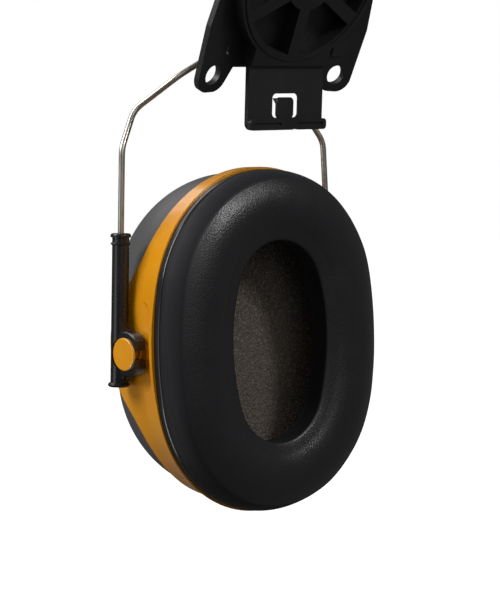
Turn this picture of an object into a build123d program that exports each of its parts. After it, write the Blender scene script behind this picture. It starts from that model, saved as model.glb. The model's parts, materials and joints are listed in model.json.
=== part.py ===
from build123d import *
from math import asin, cos, pi, radians, sin
import os

# One-sided helmet-mounted hearing protector, in millimetres, at its real size.
# Origin: middle of the blade that plugs into the helmet, at its fold line.
# +Z up, -Y towards the wearer's head, +X along the wearer's cheek.

# ---- driving dimensions: helmet bracket -------------------------------------------------
TILT = 24.0               # the bracket leans towards the head at the top, degrees
BLADE_LEAN = 3.8          # lean of the blade, degrees
BLADE_WIDTH, BLADE_DROP, BLADE_BACK, BLADE_FRONT = 29.4, 18.4, -1.0, 0.5
FACE_Y = -1.7             # front of the bracket at the fold line
HUB_RISE = 26.2           # fold line to hub centre, along the leaning face
DISC_R, RIM_R, RIM_WIDTH, RIM_RISE = 25.6, 24.5, 0.8, 0.4
POCKET_R, POCKET_CORE_R, POCKET_DEPTH, SPOKE_WIDTH = 22.7, 9.0, 5.2, 4.0
PAD_FACE = 4.35           # front of the raised pad on the rear ear, from the bracket's face
PLATE_OUT, PLATE_THICK, PLATE_BEND_R = 7.2, 2.0, 175.0
EAR_X, EAR_Y, EAR_HOLE_R = 24.5, -30.9, 3.0
BOSS_R, BOSS_END, PAD_R, PAD_END = 6.0, 12.2, 15.0, 8.4

# ---- driving dimensions: swivel ---------------------------------------------------------
RUN = 0.05                # radial running clearance
HOUSING_R, HOUSING_WALL, HOUSING_IN, HOUSING_OUT = 16.0, 2.0, 9.3, 21.2
FLOOR_END, WASHER_R, WASHER_THICK = 12.0, 9.0, 1.0
PIN_B, PIN_S, PIN_R, LUG_R = -21.5, 18.1, 1.6, 3.0
TONGUE_HALF, LUG_HALF = 4.9, 9.4
POST_X, POST_B, POST_R = 10.6, 4.5, 2.3
COVER_THICK = 2.2

# ---- driving dimensions: wire fork ------------------------------------------------------
WIRE_R = 0.9
BAR_B, BAR_S, BLOCK_HALF, BLOCK_B, BLOCK_S = -29.2, 18.1, 10.4, 3.3, 3.6
CAP_SCREW_X, CAP_SCREW_B = 7.0, -31.3

# ---- driving dimensions: cup, measured from the pivot axis --------------------------------
STUD_Y, STUD_Z = 22.1, -82.07
SHELL_RISE, RING_RISE, CUSHION_RISE = 2.4, 1.2, 1.1     # height of each oval's centre above the pivots
LEG_BACK = 4.6            # the wire legs run behind the pivot axis
LEG_X, LEG_LEAN = 42.98, 0.0461     # leg offset at pivot height, inward lean per mm of rise
TUBE_R, TUBE_LOW, TUBE_HIGH = 2.5, -9.9, 33.5
HUB_R, HUB_IN, HUB_OUT, HUB_FLAT = 6.6, 41.1, 44.6, 5.2
STUD_R, BUTTON_R, BUTTON_IN, BUTTON_OUT = 1.6, 4.8, 44.65, 45.35
SHELL_A, SHELL_B, SHELL_BACK, SHELL_ROUND, SHELL_WALL = 38.6, 48.6, 31.0, 29.0, 2.0
SHELL_FRONT, RING_FRONT, RING_CREASE = 7.6, 9.2, 1.5
LOBE_SKIN, RING_A, RING_B, FACET_X, PIVOT_PAD_X = 1.6, 42.25, 51.55, 39.7, 40.3
PLATE_FRONT = 11.8
CUSHION_A, CUSHION_B, CUSHION_BACK, CUSHION_TOP = 41.2, 51.0, 11.9, 21.1
MOUTH_A, MOUTH_B = 18.7, 30.0
CROWN_ROUND, MOUTH_ROUND, SKIN = 8.0, 3.6, 0.9
LINER_DEEP = -1.0

os.makedirs("parts", exist_ok=True)

# ---- frames -------------------------------------------------------------------------------
OUT_DIR = (0, cos(radians(TILT)), sin(radians(TILT)))       # away from the head, square to the bracket
UP_DIR = (0, -sin(radians(TILT)), cos(radians(TILT)))       # up along the bracket
HUB_Y = FACE_Y - HUB_RISE * sin(radians(TILT))
HUB_Z = HUB_RISE * cos(radians(TILT))


def hub_point(x, b, s):
    """Point x across, b up the bracket from the hub centre and s out from its front face."""
    return (x, HUB_Y + b * UP_DIR[1] + s * OUT_DIR[1], HUB_Z + b * UP_DIR[2] + s * OUT_DIR[2])


def hub_plane(s):
    """Plane square to the swivel axis: local y is up the bracket, local z points outwards."""
    return Plane(origin=hub_point(0, 0, s), x_dir=(-1, 0, 0), z_dir=OUT_DIR)


def side_plane(x=0.0):
    """Plane square to X: local x is outwards from the bracket face, local y up the bracket."""
    return Plane(origin=hub_point(x, 0, 0), x_dir=OUT_DIR, z_dir=(1, 0, 0))


def cup_point(x, n, u):
    """Point x across, n towards the head and u up, from the middle of the pivot axis."""
    return (x, STUD_Y - n, STUD_Z + u)


def cup_plane(n, rise):
    """Plane facing the head at depth n, centred at height rise."""
    return Plane(origin=cup_point(0, n, rise), x_dir=(1, 0, 0), z_dir=(0, -1, 0))


def pivot_plane(x):
    """Plane square to the pivot axis: local x is towards the head, local y up."""
    return Plane(origin=cup_point(x, 0, 0), x_dir=(0, -1, 0), z_dir=(-1, 0, 0))


def save(part, name):
    part.label = name
    export_step(part, f"parts/{name}.step")


def oval(a, b, end_r):
    """Flat oval of four tangent arcs: half-width a, half-height b, end radius end_r."""
    side_r = (a * a + (b - end_r) ** 2 - end_r ** 2) / (2 * (a - end_r))
    centre_x, centre_y = -(side_r - a), b - end_r
    reach = side_r / (side_r - end_r)
    tx, ty = centre_x - centre_x * reach, centre_y * reach
    with BuildSketch(Plane.XY) as flat:
        with BuildLine():
            ThreePointArc((tx, -ty), (a, 0), (tx, ty))
            ThreePointArc((tx, ty), (0, b), (-tx, ty))
            ThreePointArc((-tx, ty), (-a, 0), (-tx, -ty))
            ThreePointArc((-tx, -ty), (0, -b), (tx, -ty))
        make_face()
    return flat.sketch


END_LESS = 0.8            # the oval's end radius is this much less than its half-width


def dome(a, b, back, round_r, front):
    """Solid cup form: an oval prism whose back edge is heavily rounded."""
    with BuildPart() as form:
        with BuildSketch(cup_plane(-back, SHELL_RISE)):
            add(oval(a, b, a - END_LESS))
        extrude(amount=back + front)
        fillet(form.faces().sort_by(Axis.Y)[-1].edges(), round_r)
    return form.part


# ==== helmet bracket =========================================================================
def blade_plane(off=0.0):
    lean = radians(BLADE_LEAN)
    face = Plane(origin=(0, 0, 0), x_dir=(1, 0, 0), z_dir=(0, -cos(lean), -sin(lean)))
    return face.offset(off)


BEND_OVERLAP = 1.8        # the blade runs this far up into the block
SLOT_LEFT, SLOT_RIGHT, SLOT_TOP, SLOT_LOW = -5.3, 4.9, -7.9, -14.9
TONGUE_LEFT, TONGUE_RIGHT, TONGUE_TOP, TONGUE_BACK = -3.4, 3.1, -9.0, -0.3
THIN_BACK, THIN_MARGIN = -0.1, 1.0      # the blade is thinner around the tongue
LIP_TOP, LIP_STEP, GROOVE_MID, GROOVE_H = -15.2, 1.5, -16.6, 0.7

with BuildPart() as helmet_adapter:
    # curved back plate, bent to the side of a helmet
    with BuildSketch(Plane(origin=hub_point(0, 0, 0), x_dir=(1, 0, 0), z_dir=UP_DIR)):
        with Locations((0, PLATE_OUT - PLATE_BEND_R)):
            Circle(PLATE_BEND_R + PLATE_THICK / 2)
            Circle(PLATE_BEND_R - PLATE_THICK / 2, mode=Mode.SUBTRACT)
        with Locations((0, PLATE_OUT)):
            Rectangle(70, 14, mode=Mode.INTERSECT)
    extrude(amount=45, both=True)
    with BuildSketch(hub_plane(-4)) as outline:
        with BuildLine():
            edge = Polyline((0, 31), (17, 31), (27, 20), (31, -16), (29.9, -36.2), (20.1, -36.2),
                            (16.4, -28), (0, -28))
            mirror(edge, about=Plane.YZ)
        make_face()
        fillet(outline.vertices().filter_by(lambda v: v.Y < -36), 4.6)
        fillet(outline.vertices().filter_by(lambda v: v.Y > -17 and abs(v.X) > 1), 6)
        fillet(outline.vertices().filter_by(lambda v: abs(abs(v.X) - 16.4) < 0.1), 1.5)
    extrude(amount=20, mode=Mode.INTERSECT)
    # disc and block that stand forward of the plate
    with BuildSketch(hub_plane(0)):
        Circle(DISC_R)
        with Locations((0, -HUB_RISE / 2)):
            Rectangle(29.6, HUB_RISE)
    extrude(amount=PLATE_OUT)
    with BuildSketch(hub_plane(0)):
        Circle(RIM_R)
        Circle(RIM_R - RIM_WIDTH, mode=Mode.SUBTRACT)
    extrude(amount=-RIM_RISE)
    with BuildSketch(hub_plane(PLATE_OUT)):
        Circle(PAD_R)
    extrude(amount=PAD_END - PLATE_OUT)
    with BuildSketch(hub_plane(PAD_END)):
        Circle(BOSS_R)
    extrude(amount=BOSS_END - PAD_END)
    # pockets between the spokes, nut pocket and screw bore
    with BuildSketch(hub_plane(0)):
        Circle(POCKET_R)
        Circle(POCKET_CORE_R, mode=Mode.SUBTRACT)
        with PolarLocations(0, 3):
            Rectangle(2 * POCKET_R + 2, SPOKE_WIDTH, rotation=90, mode=Mode.SUBTRACT)
    extrude(amount=POCKET_DEPTH, mode=Mode.SUBTRACT)
    with BuildSketch(hub_plane(0)):
        RegularPolygon(4.1, 6)
    extrude(amount=3.6, mode=Mode.SUBTRACT)
    with BuildSketch(hub_plane(-1)):
        Circle(2.1)
    extrude(amount=BOSS_END + 2, mode=Mode.SUBTRACT)
    # blade with its snap tongue and lip
    with BuildSketch(blade_plane(BLADE_BACK)) as blade:
        with Locations((0, (BEND_OVERLAP - BLADE_DROP) / 2)):
            Rectangle(BLADE_WIDTH, BLADE_DROP + BEND_OVERLAP)
        fillet(blade.vertices().group_by(Axis.Z)[0], 2.0)
    extrude(amount=BLADE_FRONT - BLADE_BACK)
    slot_at = ((SLOT_LEFT + SLOT_RIGHT) / 2, (SLOT_TOP + SLOT_LOW) / 2)
    slot_w, slot_h = SLOT_RIGHT - SLOT_LEFT, SLOT_TOP - SLOT_LOW
    with BuildSketch(blade_plane(BLADE_BACK)):
        with Locations(slot_at):
            RectangleRounded(slot_w + 2 * THIN_MARGIN, slot_h + 2 * THIN_MARGIN, 1.5)
    extrude(amount=THIN_BACK - BLADE_BACK, mode=Mode.SUBTRACT)
    with BuildSketch(blade_plane(BLADE_BACK)) as slot:
        with Locations(slot_at):
            Rectangle(slot_w, slot_h)
        fillet(slot.vertices().group_by(Axis.Z)[-1], 1.4)
    extrude(amount=BLADE_FRONT - BLADE_BACK, mode=Mode.SUBTRACT)
    with BuildSketch(blade_plane(TONGUE_BACK)) as tongue:
        with Locations(((TONGUE_LEFT + TONGUE_RIGHT) / 2, (TONGUE_TOP + LIP_TOP) / 2)):
            Rectangle(TONGUE_RIGHT - TONGUE_LEFT, TONGUE_TOP - LIP_TOP)
        fillet(tongue.vertices().group_by(Axis.Z)[-1], 1.4)
    extrude(amount=BLADE_FRONT - TONGUE_BACK)
    with BuildSketch(blade_plane(BLADE_FRONT)):
        with Locations((0.2, (LIP_TOP - BLADE_DROP) / 2)):
            RectangleRounded(BLADE_WIDTH + 0.6, LIP_TOP + BLADE_DROP, 1.1)
    extrude(amount=LIP_STEP)
    for groove_x, groove_w in ((-8.2, 10.6), (8.8, 10.0)):
        with BuildSketch(blade_plane(BLADE_FRONT + LIP_STEP)):
            with Locations((groove_x, GROOVE_MID)):
                SlotOverall(groove_w, GROOVE_H)
        extrude(amount=-0.5, mode=Mode.SUBTRACT)
    with BuildSketch(blade_plane(BLADE_BACK - 1)):
        with Locations((3.0, -BLADE_DROP)):
            SlotOverall(2.2, 1.2)
    extrude(amount=BLADE_FRONT + LIP_STEP - BLADE_BACK + 2, mode=Mode.SUBTRACT)
    # barb on the tongue, facing away from the head
    with BuildSketch(Plane(origin=(TONGUE_LEFT + 0.3, 0, 0), x_dir=(0, 1, 0), z_dir=(1, 0, 0))):
        with BuildLine():
            Polyline((0.6, TONGUE_TOP - 0.2), (2.6, TONGUE_TOP - 0.2), (0.6, TONGUE_TOP - 2.8), close=True)
        make_face()
    extrude(amount=TONGUE_RIGHT - TONGUE_LEFT - 0.6)
    # ear holes, each square to the curved plate
    for side in (-1, 1):
        turn = asin(EAR_X / PLATE_BEND_R)
        drop = PLATE_BEND_R * (1 - cos(turn))
        out = (side * sin(turn), cos(turn) * OUT_DIR[1], cos(turn) * OUT_DIR[2])
        with BuildSketch(Plane(origin=hub_point(side * EAR_X, EAR_Y, PLATE_OUT - drop), z_dir=out)):
            Circle(EAR_HOLE_R)
        extrude(amount=4, both=True, mode=Mode.SUBTRACT)
    # small moulded slot in one ear and a plain raised pad on the other
    with BuildSketch(hub_plane(0)):
        with Locations((20.6, -23.4)):
            SlotOverall(3.0, 1.2, rotation=80)
    extrude(amount=12, mode=Mode.SUBTRACT)
    with BuildSketch(hub_plane(PAD_FACE)):
        with Locations((-23.4, -22.6)):
            RectangleRounded(6.4, 4.4, 0.6)
    extrude(amount=PLATE_OUT - 1 - PAD_FACE)
save(helmet_adapter.part, "helmet_adapter")

with BuildPart() as hub_nut:
    with BuildSketch(hub_plane(0.5)):
        RegularPolygon(4.0, 6)
        Circle(2.02, mode=Mode.SUBTRACT)
    extrude(amount=3.0)
save(hub_nut.part, "hub_nut")

with BuildPart() as friction_washer:
    with BuildSketch(hub_plane(PAD_END + 0.05)):
        Circle(12.5)
        Circle(BOSS_R + 0.3, mode=Mode.SUBTRACT)
    extrude(amount=HOUSING_IN - PAD_END - 0.1)
save(friction_washer.part, "friction_washer")

with BuildPart() as hub_washer:
    with BuildSketch(hub_plane(BOSS_END)):
        Circle(WASHER_R)
        Circle(2.2, mode=Mode.SUBTRACT)
    extrude(amount=WASHER_THICK)
save(hub_washer.part, "hub_washer")

HEAD_AT = BOSS_END + WASHER_THICK
with BuildPart() as hub_screw:
    with BuildSketch(hub_plane(0.2)):
        Circle(2.0)
    extrude(amount=HEAD_AT - 0.2)
    with BuildSketch(hub_plane(HEAD_AT)):
        Circle(4.2)
    extrude(amount=2.6)
    fillet(hub_screw.faces().sort_by(Axis.Y)[-1].edges(), 1.0)
    with BuildSketch(hub_plane(HEAD_AT + 2.6)):
        Rectangle(5.0, 1.0)
        Rectangle(1.0, 5.0)
    extrude(amount=-1.4, mode=Mode.SUBTRACT)
save(hub_screw.part, "hub_screw")

# ==== swivel =================================================================================
with BuildPart() as swivel_housing:
    with BuildSketch(hub_plane(HOUSING_IN)):
        Circle(HOUSING_R)
    extrude(amount=HOUSING_OUT - HOUSING_IN)
    for side in (-1, 1):
        inner = TONGUE_HALF + 0.2
        with BuildSketch(side_plane(side * inner)):
            with Locations((PIN_S, PIN_B)):
                Circle(LUG_R)
            with Locations((PIN_S, (PIN_B - 12) / 2)):
                Rectangle(2 * LUG_R, -12 - PIN_B)
        extrude(amount=side * (LUG_HALF - inner))
    with BuildSketch(hub_plane(FLOOR_END)):
        Circle(HOUSING_R - HOUSING_WALL)
        with Locations((-POST_X, POST_B), (POST_X, POST_B)):
            Circle(POST_R, mode=Mode.SUBTRACT)
    extrude(amount=HOUSING_OUT, mode=Mode.SUBTRACT)
    with BuildSketch(hub_plane(HOUSING_IN - 1)):
        Circle(BOSS_R + RUN)
    extrude(amount=6, mode=Mode.SUBTRACT)
    with BuildSketch(side_plane(-LUG_HALF - 1)):
        with Locations((PIN_S, PIN_B)):
            Circle(PIN_R)
    extrude(amount=2 * LUG_HALF + 2, mode=Mode.SUBTRACT)
    with BuildSketch(hub_plane(HOUSING_OUT)):
        with Locations((-POST_X, POST_B), (POST_X, POST_B)):
            Circle(1.0)
    extrude(amount=-6.5, mode=Mode.SUBTRACT)
save(swivel_housing.part, "swivel_housing")

with BuildPart() as housing_cover:
    with BuildSketch(hub_plane(HOUSING_OUT)):
        Circle(HOUSING_R)
    extrude(amount=COVER_THICK)
    fillet(housing_cover.faces().sort_by(Axis.Y)[-1].edges(), 1.5)
    with BuildSketch(hub_plane(HOUSING_OUT)):
        Circle(HOUSING_R - HOUSING_WALL - 0.1)
        Circle(HOUSING_R - HOUSING_WALL - 1.1, mode=Mode.SUBTRACT)
        with Locations((-POST_X, POST_B), (POST_X, POST_B)):
            Circle(POST_R + 0.2, mode=Mode.SUBTRACT)
    extrude(amount=-1.6)
    with BuildSketch(hub_plane(HOUSING_OUT - 1)):
        with Locations((-POST_X, POST_B), (POST_X, POST_B)):
            Circle(1.3)
    extrude(amount=5, mode=Mode.SUBTRACT)
    with BuildSketch(hub_plane(HOUSING_OUT + COVER_THICK)):
        with Locations((-POST_X, POST_B), (POST_X, POST_B)):
            Circle(2.2)
    extrude(amount=-1.2, mode=Mode.SUBTRACT)
save(housing_cover.part, "housing_cover")

with BuildPart() as cover_screws:
    with BuildSketch(hub_plane(HOUSING_OUT - 5.5)):
        with Locations((-POST_X, POST_B), (POST_X, POST_B)):
            Circle(0.98)
    extrude(amount=5.5 + COVER_THICK - 1.2)
    with BuildSketch(hub_plane(HOUSING_OUT + COVER_THICK - 1.2)):
        with Locations((-POST_X, POST_B), (POST_X, POST_B)):
            Circle(2.0)
    extrude(amount=1.1)
    with BuildSketch(hub_plane(HOUSING_OUT + COVER_THICK - 0.1)):
        for place in ((-POST_X, POST_B), (POST_X, POST_B)):
            with Locations(place):
                Rectangle(2.4, 0.6)
                Rectangle(0.6, 2.4)
    extrude(amount=-0.7, mode=Mode.SUBTRACT)
save(cover_screws.part, "cover_screws")

with BuildPart() as flip_pin:
    with BuildSketch(side_plane(-LUG_HALF - 0.6)):
        with Locations((PIN_S, PIN_B)):
            Circle(PIN_R - 0.02)
    extrude(amount=2 * LUG_HALF + 1.2)
    chamfer(flip_pin.edges().filter_by(GeomType.CIRCLE), 0.3)
save(flip_pin.part, "flip_pin")

LEAF_B, LEAF_THICK = -HOUSING_R - 0.15, 0.5
with BuildPart() as detent_leaf:
    with BuildSketch(side_plane(-TONGUE_HALF + 0.4)):
        with BuildLine():
            ThreePointArc((13.0, LEAF_B), (17.5, LEAF_B - 0.75), (22.0, LEAF_B))
            Line((22.0, LEAF_B), (22.0, LEAF_B - LEAF_THICK))
            ThreePointArc((22.0, LEAF_B - LEAF_THICK), (17.5, LEAF_B - 0.75 - LEAF_THICK),
                          (13.0, LEAF_B - LEAF_THICK))
            Line((13.0, LEAF_B - LEAF_THICK), (13.0, LEAF_B))
        make_face()
    extrude(amount=2 * TONGUE_HALF - 0.8)
save(detent_leaf.part, "detent_leaf")

# ==== wire fork ==============================================================================
SPLIT = 0.05
with BuildPart() as wire_carrier:
    with BuildSketch(side_plane(-BLOCK_HALF)):
        with Locations((BAR_S - BLOCK_S / 2 - SPLIT, BAR_B)):
            Rectangle(BLOCK_S - 2 * SPLIT, 2 * BLOCK_B)
        with Locations((BAR_S, BAR_B)):
            Circle(WIRE_R + 0.04, mode=Mode.SUBTRACT)
    extrude(amount=2 * BLOCK_HALF)
    with BuildSketch(side_plane(-TONGUE_HALF)):
        with Locations((PIN_S, PIN_B)):
            Circle(LUG_R - 0.4)
        with Locations((PIN_S - LUG_R / 2, (PIN_B + BAR_B + BLOCK_B) / 2)):
            Rectangle(LUG_R - 0.8, PIN_B - BAR_B - BLOCK_B + 0.4)
        with Locations((PIN_S, PIN_B)):
            Circle(PIN_R + RUN, mode=Mode.SUBTRACT)
    extrude(amount=2 * TONGUE_HALF)
    with BuildSketch(hub_plane(BAR_S - BLOCK_S + 0.5)):
        with Locations((-CAP_SCREW_X, CAP_SCREW_B), (CAP_SCREW_X, CAP_SCREW_B)):
            Circle(0.8)
    extrude(amount=6, mode=Mode.SUBTRACT)
save(wire_carrier.part, "wire_carrier")

with BuildPart() as carrier_cap:
    with BuildSketch(side_plane(-BLOCK_HALF)) as cap_section:
        with Locations((BAR_S + BLOCK_S / 2 + SPLIT, BAR_B)):
            Rectangle(BLOCK_S - 2 * SPLIT, 2 * BLOCK_B)
        fillet(cap_section.vertices().group_by(Axis.Y)[-1], 1.2)
        with Locations((BAR_S, BAR_B)):
            Circle(WIRE_R + 0.04, mode=Mode.SUBTRACT)
    extrude(amount=2 * BLOCK_HALF)
    with BuildSketch(hub_plane(BAR_S)):
        with Locations((-CAP_SCREW_X, CAP_SCREW_B), (CAP_SCREW_X, CAP_SCREW_B)):
            Circle(0.8)
    extrude(amount=6, mode=Mode.SUBTRACT)
save(carrier_cap.part, "carrier_cap")

with BuildPart() as carrier_screws:
    for side in (-1, 1):
        with BuildSketch(hub_plane(BAR_S - BLOCK_S + 0.6)):
            with Locations((side * CAP_SCREW_X, CAP_SCREW_B)):
                Circle(0.78)
        extrude(amount=2 * BLOCK_S - 0.6)
        with BuildSketch(hub_plane(BAR_S + BLOCK_S)):
            with Locations((side * CAP_SCREW_X, CAP_SCREW_B)):
                Circle(1.15)
                Rectangle(1.7, 0.45, mode=Mode.SUBTRACT)
        extrude(amount=0.8)
save(carrier_screws.part, "carrier_screws")


def leg_x(u):
    """Distance of a leg from the middle plane, at height u above the pivots."""
    return LEG_X - LEG_LEAN * u


WIRE_END_U, KNEE_U = 3.0, 59.3
with BuildPart() as fork_wire:
    with BuildLine():
        leg = [cup_point(leg_x(WIRE_END_U), -LEG_BACK, WIRE_END_U),
               cup_point(leg_x(KNEE_U), -LEG_BACK, KNEE_U),
               cup_point(33.6, -7.0, 70.1),
               cup_point(24.2, 3.0, 80.1),
               hub_point(12.2, BAR_B, BAR_S)]
        other_leg = [(-x, y, z) for x, y, z in reversed(leg)]
        bends = [8, 6, 12, 3]
        path = FilletPolyline(*leg, *other_leg, radius=bends + bends[::-1])
    with BuildSketch(Plane(origin=path @ 0, z_dir=path % 0)):
        Circle(WIRE_R)
    sweep()
save(fork_wire.part, "fork_wire")
swept = pi * WIRE_R ** 2 * path.length
print("wire volume over section times length:", fork_wire.part.volume / swept)

# ==== arm sockets ============================================================================
CHANNEL_W, CHANNEL_N = 3.3, 1.96
FLANGE_R, FLANGE_H, RING_U, RING_R, RING_H, CAP_R, CAP_H = 3.2, 1.3, 31.3, 2.95, 0.7, 3.0, 1.2
SPIGOT_R, SPIGOT_DEEP, SNAP_GAP = 1.95, 3.0, 2.9


def leg_plane(side, u):
    """Plane square to one leg at height u: local x points across the cup."""
    return Plane(origin=cup_point(side * leg_x(u), -LEG_BACK, u), x_dir=(1, 0, side * LEG_LEAN),
                 z_dir=(-side * LEG_LEAN, 0, 1))


def arm_socket(side):
    """Tube that rides on one wire leg, with the open hub that snaps onto the cup's stud."""
    with BuildPart() as socket:
        with BuildSketch(pivot_plane(side * HUB_IN)):
            Circle(HUB_R)
        extrude(amount=-side * (HUB_OUT - HUB_IN))
        chamfer(socket.faces().sort_by(Axis.X)[-1 if side > 0 else 0].edges(), 0.4)
        with BuildSketch(pivot_plane(side * (HUB_IN - 1))):
            with Locations((HUB_FLAT + 2, 0)):
                Rectangle(4, 14)
        extrude(amount=-side * 6, mode=Mode.SUBTRACT)
        for u, r, h, bevel in ((TUBE_LOW, FLANGE_R, FLANGE_H, 0.45), (RING_U, RING_R, RING_H, 0.25)):
            with BuildSketch(leg_plane(side, u)):
                Circle(r)
            extrude(amount=h)
            rims = socket.edges().filter_by(GeomType.CIRCLE)
            chamfer(rims.filter_by(lambda e: abs(e.radius - r) < 0.01), bevel)
        with BuildSketch(leg_plane(side, TUBE_LOW)):
            Circle(TUBE_R)
        extrude(amount=TUBE_HIGH - TUBE_LOW)
        with BuildSketch(pivot_plane(side * (HUB_IN + 0.3))):
            with BuildLine():
                ThreePointArc((2.0, 6.1), (-1.3, 7.3), (-2.4, 10.4))
                Polyline((-2.4, 10.4), (-5.0, 10.4), (-5.0, -8.6), (-2.4, -8.6))
                ThreePointArc((-2.4, -8.6), (-1.2, -7.0), (1.6, -6.2))
                Line((1.6, -6.2), (2.0, 6.1))
            make_face()
        extrude(amount=-side * (HUB_OUT - HUB_IN - 0.7))
        with BuildSketch(pivot_plane(side * (HUB_IN - 1))):
            Circle(STUD_R + RUN)
            with Locations((HUB_R / 2 + 1, 0)):
                Rectangle(HUB_R + 2, SNAP_GAP)
        extrude(amount=-side * 6, mode=Mode.SUBTRACT)
        with BuildSketch(pivot_plane(side * HUB_OUT)):
            Circle(BUTTON_R + 0.3)
        extrude(amount=-side * 6, mode=Mode.SUBTRACT)
        with BuildSketch(leg_plane(side, TUBE_LOW + 1.2)):
            SlotOverall(CHANNEL_W, CHANNEL_N)
        extrude(amount=TUBE_HIGH - TUBE_LOW, mode=Mode.SUBTRACT)
        with BuildSketch(leg_plane(side, TUBE_HIGH)):
            Circle(SPIGOT_R + 0.02)
        extrude(amount=-SPIGOT_DEEP, mode=Mode.SUBTRACT)
    return socket.part


def wire_bush(side):
    """Flanged guide pressed into the top of the tube, around the wire."""
    with BuildPart() as bush:
        with BuildSketch(leg_plane(side, TUBE_HIGH)):
            Circle(CAP_R)
        extrude(amount=CAP_H)
        fillet(bush.faces().sort_by(Axis.Z)[-1].edges(), 0.7)
        with BuildSketch(leg_plane(side, TUBE_HIGH)):
            Circle(SPIGOT_R)
        extrude(amount=-SPIGOT_DEEP + 0.1)
        with BuildSketch(leg_plane(side, TUBE_HIGH - 5)):
            SlotOverall(CHANNEL_W - 0.1, CHANNEL_N - 0.04)
        extrude(amount=10, mode=Mode.SUBTRACT)
    return bush.part


for side, end in ((-1, "front"), (1, "rear")):
    save(arm_socket(side), f"arm_socket_{end}")
    save(wire_bush(side), f"wire_bush_{end}")

# ==== cup ====================================================================================
with BuildPart() as outer_shell:
    add(dome(SHELL_A, SHELL_B, SHELL_BACK, SHELL_ROUND, SHELL_FRONT))
    add(dome(SHELL_A - SHELL_WALL, SHELL_B - SHELL_WALL, SHELL_BACK - SHELL_WALL,
             SHELL_ROUND - SHELL_WALL, SHELL_FRONT + 5), mode=Mode.SUBTRACT)
    with BuildSketch(pivot_plane(-50)):
        Circle(STUD_R + 0.01)
    extrude(amount=-100, mode=Mode.SUBTRACT)
save(outer_shell.part, "outer_shell")

SCOOP_LOW, SCOOP_HIGH, SCOOP_FRONT, SCOOP_BACK, SCOOP_ROUND = -14.0, 17.0, 7.5, -21.0, 1.9
with BuildPart() as scoop:
    with BuildSketch(pivot_plane(-FACET_X)):
        with Locations(((SCOOP_FRONT + SCOOP_BACK) / 2, (SCOOP_HIGH + SCOOP_LOW) / 2)):
            RectangleRounded(SCOOP_FRONT - SCOOP_BACK, SCOOP_HIGH - SCOOP_LOW, 7)
    extrude(amount=8)
    fillet(scoop.faces().sort_by(Axis.X)[-1].edges(), SCOOP_ROUND)
    mirror(about=Plane.YZ)

with BuildPart() as band_ring:
    add(dome(SHELL_A + LOBE_SKIN, SHELL_B + LOBE_SKIN, SHELL_BACK + LOBE_SKIN,
             SHELL_ROUND + LOBE_SKIN, RING_CREASE))
    with BuildSketch(cup_plane(RING_CREASE, SHELL_RISE)):
        add(oval(SHELL_A + LOBE_SKIN, SHELL_B + LOBE_SKIN, SHELL_A + LOBE_SKIN - END_LESS))
    with BuildSketch(cup_plane(RING_FRONT, RING_RISE)):
        add(oval(RING_A, RING_B, RING_A - END_LESS - 0.6))
    loft()
    # side lobes: a bell-shaped back edge, deepest beside the pivots
    with BuildSketch(pivot_plane(-60)):
        with BuildLine():
            bell = Spline((4.6, 54), (3.6, 47), (1.9, 38), (-1.2, 26), (-5.2, 19.2), (-12, 11.8), (-18, 0),
                          (-12, -11.8), (-5.6, -19.2), (-3.2, -25.4), (-2.0, -33), (-2.1, -42), (-2.4, -54))
            Polyline(bell @ 1, (14, -54), (14, 54), bell @ 0)
        make_face()
    extrude(amount=-120, mode=Mode.INTERSECT)
    add(dome(SHELL_A + 0.1, SHELL_B + 0.1, SHELL_BACK + 0.1, SHELL_ROUND + 0.1, RING_FRONT + 3),
        mode=Mode.SUBTRACT)
    add(scoop.part, mode=Mode.SUBTRACT)
    for side in (-1, 1):
        for r, stop in ((BUTTON_R, PIVOT_PAD_X), (STUD_R + 0.8, HUB_IN - 0.1)):
            with BuildSketch(pivot_plane(side * (FACET_X - 0.6))):
                Circle(r)
            extrude(amount=-side * (stop - FACET_X + 0.6))
    with BuildSketch(pivot_plane(-50)):
        Circle(STUD_R + 0.01)
    extrude(amount=-100, mode=Mode.SUBTRACT)
save(band_ring.part, "band_ring")


def pivot_stud(side):
    """Headed stud pressed through the band and the shell wall."""
    with BuildPart() as stud:
        inside = SHELL_A - SHELL_WALL - 0.1
        for start, stop, r in ((inside - 1.2, inside, 2.6), (inside, BUTTON_IN, STUD_R),
                               (BUTTON_IN, BUTTON_OUT, BUTTON_R)):
            with BuildSketch(pivot_plane(side * start)):
                Circle(r)
            extrude(amount=-side * (stop - start))
        face = stud.faces().sort_by(Axis.X)[-1 if side > 0 else 0]
        fillet(face.edges(), 0.45)
    return stud.part


for side, end in ((-1, "front"), (1, "rear")):
    save(pivot_stud(side), f"pivot_stud_{end}")

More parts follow.
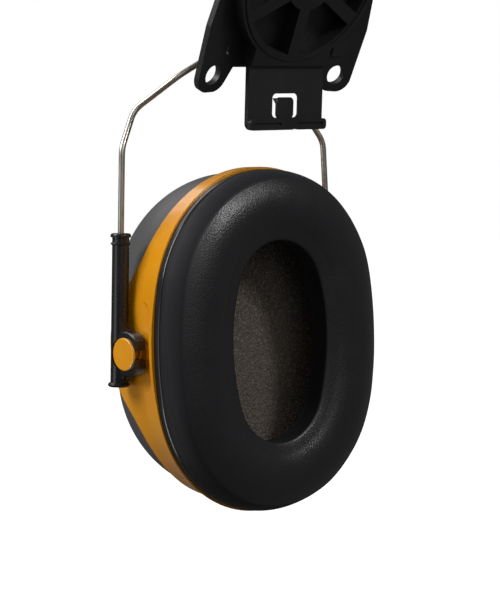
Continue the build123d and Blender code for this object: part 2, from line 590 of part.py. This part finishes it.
SKIRT_A, SKIRT_B = SHELL_A - SHELL_WALL - 0.15, SHELL_B - SHELL_WALL - 0.15
SEAT_A, SEAT_B, SKIRT_BACK, SKIRT_WALL = 21.0, 32.5, 4.0, 1.6
RIM_A, RIM_B, PLATE_BACK, PLATE_RISE = 41.3, 50.9, RING_FRONT + 0.1, 1.15
with BuildPart() as cushion_plate:
    with BuildSketch(cup_plane(PLATE_BACK, PLATE_RISE)):
        add(oval(RIM_A, RIM_B, RIM_A - END_LESS))
    extrude(amount=PLATE_FRONT - PLATE_BACK)
    fillet(cushion_plate.faces().sort_by(Axis.Y)[0].edges(), 0.9)
    with BuildSketch(cup_plane(SKIRT_BACK, SHELL_RISE)):
        add(oval(SKIRT_A, SKIRT_B, SKIRT_A - END_LESS))
    extrude(amount=PLATE_BACK - SKIRT_BACK + 0.5)
    with BuildSketch(cup_plane(SKIRT_BACK - 1, SHELL_RISE)):
        add(oval(SKIRT_A - SKIRT_WALL, SKIRT_B - SKIRT_WALL, SKIRT_A - SKIRT_WALL - END_LESS))
    extrude(amount=PLATE_BACK - SKIRT_BACK + 1, mode=Mode.SUBTRACT)
    with BuildSketch(cup_plane(SKIRT_BACK - 1, CUSHION_RISE)):
        add(oval(SEAT_A, SEAT_B, SEAT_A - 2.2))
    extrude(amount=20, mode=Mode.SUBTRACT)
save(cushion_plate.part, "cushion_plate")


def cushion_form(inset, back, front):
    """Oval ring with a rounded crown, inset all round from the cushion's outside."""
    with BuildPart() as form:
        with BuildSketch(cup_plane(back, CUSHION_RISE)):
            add(oval(CUSHION_A - inset, CUSHION_B - inset, CUSHION_A - inset - END_LESS))
        extrude(amount=front - back)
        fillet(form.faces().sort_by(Axis.Y)[0].edges(), CROWN_ROUND - inset)
        with BuildSketch(cup_plane(back - 1, CUSHION_RISE)):
            add(oval(MOUTH_A + inset, MOUTH_B + inset, MOUTH_A + inset - 2.0))
        extrude(amount=front - back + 5, mode=Mode.SUBTRACT)
        fillet(form.faces().sort_by(Axis.Y)[0].inner_wires().edges(), MOUTH_ROUND - inset)
    return form.part


with BuildPart() as ear_cushion:
    add(cushion_form(0, CUSHION_BACK, CUSHION_TOP))
    add(cushion_form(SKIN, CUSHION_BACK - 3, CUSHION_TOP - SKIN), mode=Mode.SUBTRACT)
save(ear_cushion.part, "ear_cushion")

CORE_GAP = 0.15
with BuildPart() as cushion_foam:
    add(cushion_form(SKIN + CORE_GAP, CUSHION_BACK, CUSHION_TOP - SKIN - CORE_GAP))
save(cushion_foam.part, "cushion_foam")

LINER_GAP, LINER_WALL, LINER_FRONT = 0.5, 6.5, 3.5
with BuildPart() as foam_liner:
    gap = SHELL_WALL + LINER_GAP
    hollow_a, hollow_b = SHELL_A - gap - LINER_WALL, SHELL_B - gap - LINER_WALL
    add(dome(SHELL_A - gap, SHELL_B - gap, SHELL_BACK - gap, SHELL_ROUND - gap, LINER_FRONT))
    with BuildSketch(cup_plane(LINER_DEEP, SHELL_RISE)):
        add(oval(hollow_a, hollow_b, hollow_a - END_LESS))
    extrude(amount=10, mode=Mode.SUBTRACT)
    for side in (-1, 1):
        with BuildSketch(pivot_plane(side * (SHELL_A - gap - 1.8))):
            Circle(3.4)
        extrude(amount=-side * 4, mode=Mode.SUBTRACT)
save(foam_liner.part, "foam_liner")
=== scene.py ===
import json
from math import atan2, cos, hypot, pi, radians, sin

import bpy
from mathutils import Matrix, Vector, noise


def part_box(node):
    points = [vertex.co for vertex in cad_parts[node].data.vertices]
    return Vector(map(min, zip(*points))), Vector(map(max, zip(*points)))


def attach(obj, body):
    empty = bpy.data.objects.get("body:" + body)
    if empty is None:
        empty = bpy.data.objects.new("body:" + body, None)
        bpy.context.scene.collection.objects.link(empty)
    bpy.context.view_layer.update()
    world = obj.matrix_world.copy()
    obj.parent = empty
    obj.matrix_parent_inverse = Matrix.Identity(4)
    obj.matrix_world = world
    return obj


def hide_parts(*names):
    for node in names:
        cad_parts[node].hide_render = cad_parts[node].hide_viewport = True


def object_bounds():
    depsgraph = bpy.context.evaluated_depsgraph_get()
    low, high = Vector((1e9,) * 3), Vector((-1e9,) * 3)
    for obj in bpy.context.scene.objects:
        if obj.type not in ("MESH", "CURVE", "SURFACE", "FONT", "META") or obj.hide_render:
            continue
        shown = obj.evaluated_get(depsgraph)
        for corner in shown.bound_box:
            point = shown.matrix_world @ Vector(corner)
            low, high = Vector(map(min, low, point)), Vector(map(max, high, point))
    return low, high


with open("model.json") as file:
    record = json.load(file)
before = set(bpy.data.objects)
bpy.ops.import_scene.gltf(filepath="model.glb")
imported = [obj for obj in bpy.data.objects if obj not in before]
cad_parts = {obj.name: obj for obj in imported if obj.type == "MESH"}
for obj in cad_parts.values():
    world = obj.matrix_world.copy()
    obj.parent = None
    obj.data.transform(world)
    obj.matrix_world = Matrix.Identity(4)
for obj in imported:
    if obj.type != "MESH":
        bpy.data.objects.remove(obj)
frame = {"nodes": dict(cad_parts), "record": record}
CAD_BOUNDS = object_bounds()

MM = 0.001
NODES = frame["nodes"]
SLOT_OF = {s["node"]: s["material_slot"] for s in frame["record"]["subparts"]}


# ---- node-tree helpers -----------------------------------------------------------------------
class Shader:
    """A material with one Principled shader, patterned in object coordinates (metres)."""

    def __init__(self, name, color, rough, metallic=0.0, coat=0.0, sheen=0.0, ior=1.5):
        self.material = bpy.data.materials.new(name)
        self.material.use_nodes = True
        self.nodes = self.material.node_tree.nodes
        self.links = self.material.node_tree.links
        self.bsdf = self.nodes["Principled BSDF"]
        self.coords = self.nodes.new("ShaderNodeTexCoord").outputs["Object"]
        self.set("Base Color", (*color, 1))
        self.set("Roughness", rough)
        self.set("Metallic", metallic)
        self.set("IOR", ior)
        self.set("Coat Weight", coat)
        self.set("Sheen Weight", sheen)

    def set(self, socket, value):
        self.bsdf.inputs[socket].default_value = value

    def noise(self, size_mm, detail=2.0, rough=0.5, stretch=(1, 1, 1), kind="noise"):
        """Noise or cell pattern whose features are about size_mm across."""
        mapping = self.nodes.new("ShaderNodeMapping")
        mapping.inputs["Scale"].default_value = [s / (size_mm * MM) for s in stretch]
        self.links.new(self.coords, mapping.inputs["Vector"])
        if kind == "cells":
            texture = self.nodes.new("ShaderNodeTexVoronoi")
            texture.inputs["Scale"].default_value = 1.0
            output = texture.outputs["Distance"]
        else:
            texture = self.nodes.new("ShaderNodeTexNoise")
            texture.inputs["Scale"].default_value = 1.0
            texture.inputs["Detail"].default_value = detail
            texture.inputs["Roughness"].default_value = rough
            output = texture.outputs["Fac"]
        self.links.new(mapping.outputs["Vector"], texture.inputs["Vector"])
        return output

    def remap(self, value, low, high, to_low, to_high):
        """Stretch low..high to to_low..to_high, and clamp what lies outside."""
        node = self.nodes.new("ShaderNodeMapRange")
        node.clamp = True
        for socket, number in zip(("From Min", "From Max", "To Min", "To Max"),
                                  (low, high, to_low, to_high)):
            node.inputs[socket].default_value = number
        self.links.new(value, node.inputs["Value"])
        return node.outputs["Result"]

    def math(self, operation, a, b):
        node = self.nodes.new("ShaderNodeMath")
        node.operation = operation
        for socket, value in zip(node.inputs, (a, b)):
            if isinstance(value, (int, float)):
                socket.default_value = value
            else:
                self.links.new(value, socket)
        return node.outputs["Value"]

    def mix_color(self, factor, color_a, color_b):
        node = self.nodes.new("ShaderNodeMix")
        node.data_type = "RGBA"
        node.inputs["A"].default_value = (*color_a, 1)
        node.inputs["B"].default_value = (*color_b, 1)
        self.links.new(factor, node.inputs["Factor"])
        self.feed("Base Color", node.outputs["Result"])

    def feed(self, socket, value):
        self.links.new(value, self.bsdf.inputs[socket])

    def bump(self, height, depth_mm):
        """Add relief on top of any relief that is already there."""
        node = self.nodes.new("ShaderNodeBump")
        node.inputs["Distance"].default_value = depth_mm * MM
        node.inputs["Strength"].default_value = 1.0
        self.links.new(height, node.inputs["Height"])
        if self.bsdf.inputs["Normal"].is_linked:
            before = self.bsdf.inputs["Normal"].links[0].from_socket
            self.links.new(before, node.inputs["Normal"])
        self.feed("Normal", node.outputs["Normal"])

    def axis(self, index):
        split = self.nodes.new("ShaderNodeSeparateXYZ")
        self.links.new(self.coords, split.inputs["Vector"])
        return split.outputs[index]


# ---- materials -------------------------------------------------------------------------------
def moulded_plastic(name, color, rough, grain_mm=0.35, depth_mm=0.012, lighter=1.35):
    """Plastic with a fine grain and broad patches up to `lighter` times the colour."""
    s = Shader(name, color, rough)
    broad = s.noise(14, detail=3)
    fine = s.noise(grain_mm, detail=2, rough=0.6)
    s.mix_color(s.remap(broad, 0.35, 0.65, 0, 1), color, [c * lighter for c in color])
    mixed = s.math("ADD", s.remap(broad, 0.3, 0.7, rough - 0.05, rough + 0.03),
                   s.remap(fine, 0.3, 0.7, -0.03, 0.04))
    s.feed("Roughness", mixed)
    s.bump(fine, depth_mm)
    return s.material


def glossy_yellow():
    s = Shader("ring_yellow", (0.80, 0.325, 0.006), 0.2, coat=0.35, ior=1.52)
    s.set("Coat Roughness", 0.06)
    s.set("Subsurface Weight", 0.08)
    s.set("Subsurface Radius", (0.004, 0.002, 0.0006))
    broad = s.noise(18, detail=2)
    s.mix_color(s.remap(broad, 0.35, 0.65, 0, 1), (0.79, 0.31, 0.005), (0.83, 0.345, 0.010))
    s.feed("Roughness", s.remap(s.noise(3.0, detail=4), 0.35, 0.7, 0.17, 0.27))
    s.bump(s.noise(2.2, detail=1), 0.006)
    s.bump(s.noise(0.25, detail=2), 0.0015)
    return s.material


def spring_steel():
    s = Shader("wire_steel", (0.55, 0.50, 0.44), 0.3, metallic=1.0)
    drawn = s.noise(0.25, detail=3, stretch=(1, 1, 0.04))
    patches = s.remap(s.noise(5, detail=3), 0.35, 0.65, 0, 1)
    s.mix_color(patches, (0.50, 0.455, 0.40), (0.62, 0.57, 0.50))
    s.feed("Roughness", s.remap(drawn, 0.3, 0.7, 0.24, 0.4))
    s.bump(drawn, 0.004)
    return s.material


def plated_steel():
    s = Shader("fastener_steel", (0.5, 0.5, 0.51), 0.3, metallic=1.0)
    patches = s.remap(s.noise(1.8, detail=3), 0.35, 0.65, 0, 1)
    s.mix_color(patches, (0.42, 0.42, 0.43), (0.6, 0.59, 0.57))
    s.feed("Roughness", s.remap(s.noise(0.5, detail=3), 0.3, 0.7, 0.22, 0.42))
    s.bump(s.noise(0.3, detail=3), 0.004)
    return s.material


def grained_vinyl():
    """Black cushion skin: leather grain and gloss on the crown, plainer on the side wall."""
    s = Shader("cushion_black", (0.0150, 0.0152, 0.0172), 0.4, sheen=0.02)
    s.set("Sheen Roughness", 0.4)
    crown_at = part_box("ear_cushion")[0].y
    on_wall = 0.15
    on_crown = s.remap(s.axis(1), crown_at + 3.1 * MM, crown_at + 2.5 * MM, on_wall, 1.0)
    cells = s.noise(0.5, kind="cells")
    fine = s.noise(0.27, detail=3, rough=0.6)
    leather = s.math("ADD", s.math("MULTIPLY", cells, 0.8), s.math("MULTIPLY", fine, 0.6))
    s.mix_color(s.remap(fine, 0.35, 0.7, 0, 1), (0.0122, 0.0124, 0.0141), (0.0192, 0.0195, 0.0220))
    patchy = s.math("ADD", s.remap(s.noise(9, detail=3), 0.3, 0.7, -0.03, 0.04),
                    s.math("MULTIPLY", s.remap(fine, 0.3, 0.7, -0.02, 0.06), on_crown))
    s.feed("Roughness", s.math("ADD", patchy, s.remap(on_crown, on_wall, 1.0, 0.6, 0.3)))
    s.feed("Specular IOR Level", s.remap(on_crown, on_wall, 1.0, 0.18, 0.5))
    s.bump(s.math("MULTIPLY", leather, on_crown), 0.06)
    return s.material


def open_cell_foam():
    s = Shader("foam_liner", (0.11, 0.09, 0.073), 0.95)
    specks = s.noise(0.55, detail=4, rough=0.7)
    pores = s.noise(0.8, kind="cells")
    s.mix_color(s.remap(specks, 0.48, 0.72, 0, 1), (0.09, 0.073, 0.06), (0.30, 0.26, 0.215))
    s.bump(pores, 0.35)
    s.bump(specks, 0.25)
    return s.material


MATERIALS = {
    "bracket_black": moulded_plastic("bracket_black", (0.009, 0.009, 0.0095), 0.42),
    "swivel_black": moulded_plastic("swivel_black", (0.019, 0.019, 0.02), 0.4),
    "socket_black": moulded_plastic("socket_black", (0.009, 0.009, 0.009), 0.28,
                                    grain_mm=0.5, depth_mm=0.004),
    "wire_steel": spring_steel(),
    "fastener_steel": plated_steel(),
    "friction_grey": moulded_plastic("friction_grey", (0.05, 0.05, 0.052), 0.5),
    "shell_grey": moulded_plastic("shell_grey", (0.075, 0.073, 0.077), 0.46,
                                  grain_mm=0.45, depth_mm=0.02, lighter=1.12),
    "ring_yellow": glossy_yellow(),
    "plate_black": moulded_plastic("plate_black", (0.014, 0.014, 0.015), 0.22,
                                   grain_mm=0.8, depth_mm=0.004),
    "cushion_black": grained_vinyl(),
    "foam_core": open_cell_foam(),
    "foam_liner": open_cell_foam(),
}

for name, node in NODES.items():
    node.data.materials.clear()
    node.data.materials.append(MATERIALS[SLOT_OF[name]])


# ---- the cup's own frame ---------------------------------------------------------------------
def box_size(node):
    low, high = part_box(node)
    return high - low


CUSHION_LOW, CUSHION_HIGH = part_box("ear_cushion")
OVAL_CENTRE = (CUSHION_LOW + CUSHION_HIGH) / 2


OVAL_STEPS = 4000                            # fine steps that measure the way round an oval


class Oval:
    """Four tangent arcs, addressed by the direction of the outward normal."""

    def __init__(self, a, b, end_r):
        self.side_r = (a * a + (b - end_r) ** 2 - end_r ** 2) / (2 * (a - end_r))
        self.end_r = end_r
        self.side_c = a - self.side_r
        self.end_c = b - end_r
        self.turn = atan2(self.end_c, -self.side_c)

    def at(self, angle):
        """Point whose outward normal stands at this angle from +X."""
        c, s = cos(angle), sin(angle)
        folded = atan2(abs(s), abs(c))
        sx, sy = (1 if c >= 0 else -1), (1 if s >= 0 else -1)
        if folded < self.turn:
            x, y = self.side_c + self.side_r * cos(folded), self.side_r * sin(folded)
        else:
            x, y = self.end_r * cos(folded), self.end_c + self.end_r * sin(folded)
        return sx * x, sy * y

    def angles(self, count):
        """Normal angles of points evenly spaced along the oval."""
        fine = [2 * pi * i / OVAL_STEPS for i in range(OVAL_STEPS + 1)]
        points = [self.at(t) for t in fine]
        run = [0.0]
        for p, q in zip(points, points[1:]):
            run.append(run[-1] + hypot(q[0] - p[0], q[1] - p[1]))
        out, k = [], 0
        for i in range(count):
            goal = run[-1] * i / count
            while run[k + 1] < goal:
                k += 1
            out.append(fine[k])
        return out


def new_mesh_object(name, vertices, faces, material):
    mesh = bpy.data.meshes.new(name)
    mesh.from_pydata(vertices, [], faces)
    mesh.validate()
    mesh.materials.append(material)
    for polygon in mesh.polygons:
        polygon.use_smooth = True
    piece = bpy.data.objects.new(name, mesh)
    bpy.context.scene.collection.objects.link(piece)
    return piece


def apply_modifiers(piece):
    graph = bpy.context.evaluated_depsgraph_get()
    mesh = bpy.data.meshes.new_from_object(piece.evaluated_get(graph))
    piece.modifiers.clear()
    old = piece.data
    piece.data = mesh
    bpy.data.meshes.remove(old)


def loop_faces(rows, count, closed_rows):
    """Four-sided faces between neighbouring rows of count points."""
    faces = []
    for r in range(rows if closed_rows else rows - 1):
        for i in range(count):
            j, q = (i + 1) % count, (r + 1) % rows
            faces.append((r * count + i, r * count + j, q * count + j, q * count + i))
    return faces


def smooth_profile(points, steps):
    """Catmull-Rom curve through a closed list of profile points."""
    out = []
    n = len(points)
    for i in range(n):
        p0, p1, p2, p3 = (Vector(points[(i + k - 1) % n]) for k in range(4))
        for k in range(steps):
            t = k / steps
            out.append(0.5 * ((2 * p1) + (p2 - p0) * t + (2 * p0 - 5 * p1 + 4 * p2 - p3) * t * t
                              + (3 * p1 - p0 - 3 * p2 + p3) * t ** 3))
    return out


# ---- ear cushion ------------------------------------------------------------------------------
FACE_Y = CUSHION_LOW.y                       # the face that meets the head
CUSHION_A = box_size("ear_cushion").x / 2 / MM
CUSHION_B = box_size("ear_cushion").z / 2 / MM
MOUTH_A, MOUTH_B = 18.7, 30.0
RING_WIDTH = CUSHION_A - MOUTH_A
CREASE_INSET, COLLAR_INSET = 2.85, 18.6      # the seam round the crown, and where the collar begins
# how much smaller than the half width the end radius of an oval is
OUTER_LESS, MOUTH_LESS = 0.8, 2.0
CUSHION_AROUND = 168                         # points round the skin
# shares by which the rear side and the rear corners are fuller than the plain oval
FULL_SIDE, FULL_CORNER = 0.009, 0.03
# the skin's unevenness: noise cells per mm, heights in mm, and how much finer the second is
RIPPLE_SCALE, BROAD_RIPPLE, FINE_RIPPLE, FINER = 0.045, 0.35, 0.10, 3.1
# the filling: pressure and mass as the cloth solver takes them, and how far it may push, in mm
FILL_PRESSURE, SKIN_MASS, SKIN_STRETCH, SKIN_BEND = 250.0, 0.004, 1.0, 0.01
FILL_FRAMES, SWELL = 20, 0.8
HELD_MARGIN, FREE_DEPTH = 0.6, 2.4           # the filled crown stops this far from seam and collar


def inflate(piece, pinned, most):
    """Fill the piece under pressure, held at the pinned vertices; no point moves more than most."""
    before = [v.co.copy() for v in piece.data.vertices]
    piece.vertex_groups.new(name="pinned").add(pinned, 1.0, "REPLACE")
    cloth = piece.modifiers.new("filling", "CLOTH")
    cloth.settings.vertex_group_mass = "pinned"
    cloth.settings.use_pressure = True
    cloth.settings.uniform_pressure_force = FILL_PRESSURE
    cloth.settings.mass = SKIN_MASS
    cloth.settings.tension_stiffness = SKIN_STRETCH
    cloth.settings.compression_stiffness = SKIN_STRETCH
    cloth.settings.shear_stiffness = SKIN_STRETCH
    cloth.settings.bending_stiffness = SKIN_BEND
    cloth.settings.effector_weights.gravity = 0.0
    for number in range(1, FILL_FRAMES + 1):
        bpy.context.scene.frame_set(number)
    apply_modifiers(piece)
    bpy.context.scene.frame_set(1)
    for v, start in zip(piece.data.vertices, before):
        move = v.co - start
        if move.length > most:
            v.co = start + move * (most / move.length)


def fullness(x, z):
    """How much wider than the plain oval the skin stands at this point of it."""
    towards_rear = max(x, 0.0) / CUSHION_A
    corner = 4 * (x * z / (x * x + z * z)) ** 2 * (z / CUSHION_B) ** 4
    return 1 + FULL_SIDE * towards_rear ** 2 + FULL_CORNER * corner * min(2 * towards_rear, 1.0)


def ear_cushion():
    outer = Oval(CUSHION_A, CUSHION_B, CUSHION_A - OUTER_LESS)
    mouth = Oval(MOUTH_A, MOUTH_B, MOUTH_A - MOUTH_LESS)
    # (distance in from the outside, depth behind the crown) in mm, from the back up the side wall,
    # over the crown, down the collar into the mouth, and along the back
    section = [(0.7, 9.2), (0.2, 8.95), (0.06, 8.1), (0.25, 7.1), (0.6, 6.1), (1.05, 5.1),
               (1.55, 4.2), (2.1, 3.4), (2.5, 2.92), (CREASE_INSET, 2.68), (3.1, 2.5), (3.9, 2.12),
               (5.8, 1.28), (8.2, 0.52), (10.5, 0.12), (12.3, 0.06), (14.6, 0.32), (17.0, 0.9),
               (COLLAR_INSET, 1.5), (20.0, 1.95), (21.4, 2.4), (22.25, 2.8), (22.5, 3.4),
               (22.4, 6.0), (22.4, 8.8), (21.9, 9.2), (11.0, 9.2)]
    profile = smooth_profile(section, 2)
    vertices = []
    angles = outer.angles(CUSHION_AROUND)
    for inset, depth in profile:
        k = inset / RING_WIDTH
        for angle in angles:
            ox, oz = outer.at(angle)
            fuller = fullness(ox, oz)
            ox, oz = ox * fuller, oz * fuller
            mx, mz = mouth.at(angle)
            x, z = ox + (mx - ox) * k, oz + (mz - oz) * k
            place = Vector((x, depth, z)) * RIPPLE_SCALE
            ripple = noise.noise(place) * BROAD_RIPPLE + noise.noise(place * FINER) * FINE_RIPPLE
            vertices.append((OVAL_CENTRE.x + x * MM, FACE_Y + (depth + ripple) * MM,
                             OVAL_CENTRE.z + z * MM))
    piece = new_mesh_object("ear_cushion_skin", vertices,
                            loop_faces(len(profile), CUSHION_AROUND, True),
                            MATERIALS["cushion_black"])
    free = [CREASE_INSET + HELD_MARGIN < inset < COLLAR_INSET - HELD_MARGIN and depth < FREE_DEPTH
            for inset, depth in profile]
    held = [i for i in range(len(vertices)) if not free[i // CUSHION_AROUND]]
    inflate(piece, held, SWELL * MM)
    piece.modifiers.new("round", "SUBSURF").levels = 1
    apply_modifiers(piece)
    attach(piece, "cup")
    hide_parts("ear_cushion", "cushion_foam")


# ---- foam liner ------------------------------------------------------------------------------
LINER_AROUND = 96                            # points round the pad
LINER_GAP = 0.3                              # room between the pad and its CAD outline, in mm
PORE, PORE_DEPTH = 1.3, 0.22                 # fine unevenness of the pad's face: size and height, mm
LUMP_SCALE, LUMP_HEIGHT = 0.12, 0.5          # broad unevenness: frequency against the pores, height
UNEVEN_DEPTH = 12                            # how far behind the front edge the unevenness reaches


def cap(row, hub, count, flipped):
    """Triangles from the hub point to every side of one row."""
    faces = []
    for i in range(count):
        p, q = row * count + i, row * count + (i + 1) % count
        faces.append((hub, q, p) if flipped else (hub, p, q))
    return faces


def foam_liner():
    low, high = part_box("foam_liner")
    middle = (low + high) / 2
    front = low.y
    deep = (high.y - low.y) / MM
    size = box_size("foam_liner")
    a, b = size.x / 2 / MM - LINER_GAP, size.z / 2 / MM - LINER_GAP
    # (inset from the outside, depth behind the liner's front edge) in mm, from the middle of the
    # face out to the rim and on to the back
    section = [(a * 0.93, 4.2), (a * 0.5, 4.0), (9.5, 3.6), (7.6, 2.7), (6.2, 1.0), (3.0, 0.3),
               (0.8, 0.8), (0.2, 3.0), (0.4, 8.0), (2.6, 16.0), (9.0, 24.5), (18.0, deep - 1.5)]
    outline = Oval(a, b, a - OUTER_LESS)
    angles = outline.angles(LINER_AROUND)
    vertices = []
    for inset, depth in section:
        near_middle = inset > a * 0.4
        shrink_x = (a - inset) / a
        shrink_z = (b - inset * (b / a if near_middle else 1.0)) / b
        for angle in angles:
            x, z = outline.at(angle)
            vertices.append((middle.x + x * shrink_x * MM, front + depth * MM,
                             middle.z + z * shrink_z * MM))
    last = len(section) - 1
    faces = loop_faces(len(section), LINER_AROUND, False)
    for row, flipped in ((0, True), (last, False)):
        faces += cap(row, len(vertices), LINER_AROUND, flipped)
        vertices.append((middle.x, front + section[row][1] * MM, middle.z))
    piece = new_mesh_object("foam_liner_pad", vertices, faces, MATERIALS["foam_liner"])
    piece.modifiers.new("round", "SUBSURF").levels = 2
    apply_modifiers(piece)
    for v in piece.data.vertices:
        if v.co.y < front + UNEVEN_DEPTH * MM:
            place = v.co / (PORE * MM)
            v.co.y += (noise.noise(place) * PORE_DEPTH
                       + noise.noise(place * LUMP_SCALE) * LUMP_HEIGHT) * MM
    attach(piece, "cup")
    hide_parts("foam_liner")


ear_cushion()
foam_liner()


# ---- studio ----------------------------------------------------------------------------------
VIEW_AZIMUTH, VIEW_ELEVATION, VIEW_ROLL = radians(-41.87), radians(5.0), radians(-1.03)
VIEW_LENS, NEAREST = 127.97, 0.01            # lens in mm, nearest visible distance in metres
VIEW_FROM = (-0.42555, -0.45739, -0.01349)

back = Vector((sin(VIEW_AZIMUTH) * cos(VIEW_ELEVATION),
               -cos(VIEW_AZIMUTH) * cos(VIEW_ELEVATION),
               sin(VIEW_ELEVATION)))
level_right = Vector((cos(VIEW_AZIMUTH), sin(VIEW_AZIMUTH), 0))
level_up = back.cross(level_right)
right = cos(VIEW_ROLL) * level_right + sin(VIEW_ROLL) * level_up
up = -sin(VIEW_ROLL) * level_right + cos(VIEW_ROLL) * level_up
CENTRE = (CAD_BOUNDS[0] + CAD_BOUNDS[1]) / 2

ROOM_LIGHT = 0.10                            # strength of the room beside the lamps
FLOOR_DROP, FLOOR_HALF = 0.25, 4.0           # depth under the object and half width, in metres
# name, (right, up, back) seen from the camera, distance in metres, (width, height), power in watts
LAMPS = (
    ("key", (-1.0, 0.75, 0.35), 0.9, (0.45, 0.6), 6.6),
    ("side", (-0.85, -0.45, 0.4), 0.9, (0.5, 0.9), 1.9),
    ("fill", (0.4, 0.4, 0.9), 1.0, (0.9, 0.9), 1.6),
    ("front", (0.7, 0.55, 0.48), 0.9, (0.22, 0.22), 2.7),
    ("behind", (-0.48, 0.85, -0.45), 0.9, (0.6, 0.5), 1.5),
    ("low", (-0.9, -0.9, 0.35), 0.9, (0.5, 0.5), 3.0),
)


def camera():
    data = bpy.data.cameras.new("camera")
    data.lens = VIEW_LENS
    data.clip_start = NEAREST
    eye = bpy.data.objects.new("camera", data)
    eye.matrix_world = Matrix((right, up, back)).transposed().to_4x4()
    eye.matrix_world.translation = VIEW_FROM
    bpy.context.scene.collection.objects.link(eye)
    bpy.context.scene.camera = eye


def area_light(name, seen, distance, size, power):
    data = bpy.data.lights.new(name, "AREA")
    data.shape = "RECTANGLE"
    data.size, data.size_y = size
    data.energy = power
    lamp = bpy.data.objects.new(name, data)
    direction = (seen[0] * right + seen[1] * up + seen[2] * back).normalized()
    lamp.location = CENTRE + direction * distance
    lamp.rotation_euler = direction.to_track_quat("Z", "Y").to_euler()
    bpy.context.scene.collection.objects.link(lamp)


def background(tree, strength):
    node = tree.nodes.new("ShaderNodeBackground")
    node.inputs["Color"].default_value = (1, 1, 1, 1)
    node.inputs["Strength"].default_value = strength
    return node.outputs[0]


def room():
    """A white backdrop for the camera, and a dim even room for everything else."""
    world = bpy.data.worlds.new("studio")
    bpy.context.scene.world = world
    world.use_nodes = True
    tree = world.node_tree
    path = tree.nodes.new("ShaderNodeLightPath")
    mix = tree.nodes.new("ShaderNodeMixShader")
    tree.links.new(path.outputs["Is Camera Ray"], mix.inputs[0])
    tree.links.new(background(tree, ROOM_LIGHT), mix.inputs[1])
    tree.links.new(background(tree, 1.0), mix.inputs[2])
    tree.links.new(mix.outputs[0], tree.nodes["World Output"].inputs["Surface"])


def floor():
    """A plain pale floor that neither lights the object nor shows in it."""
    z, half = CAD_BOUNDS[0].z - FLOOR_DROP, FLOOR_HALF
    corners = [(-half, -half, z), (half, -half, z), (half, half, z), (-half, half, z)]
    mesh = bpy.data.meshes.new("floor")
    mesh.from_pydata(corners, [], [(0, 1, 2, 3)])
    plane = bpy.data.objects.new("floor", mesh)
    pale = Shader("floor_pale", (0.8, 0.8, 0.8), 0.9)
    pale.set("Emission Color", (1, 1, 1, 1))
    pale.set("Emission Strength", 1.0)
    mesh.materials.append(pale.material)
    plane.visible_diffuse = plane.visible_glossy = False
    bpy.context.scene.collection.objects.link(plane)


camera()
room()
floor()
for lamp in LAMPS:
    area_light(*lamp)
bpy.context.scene.view_settings.view_transform = "Standard"
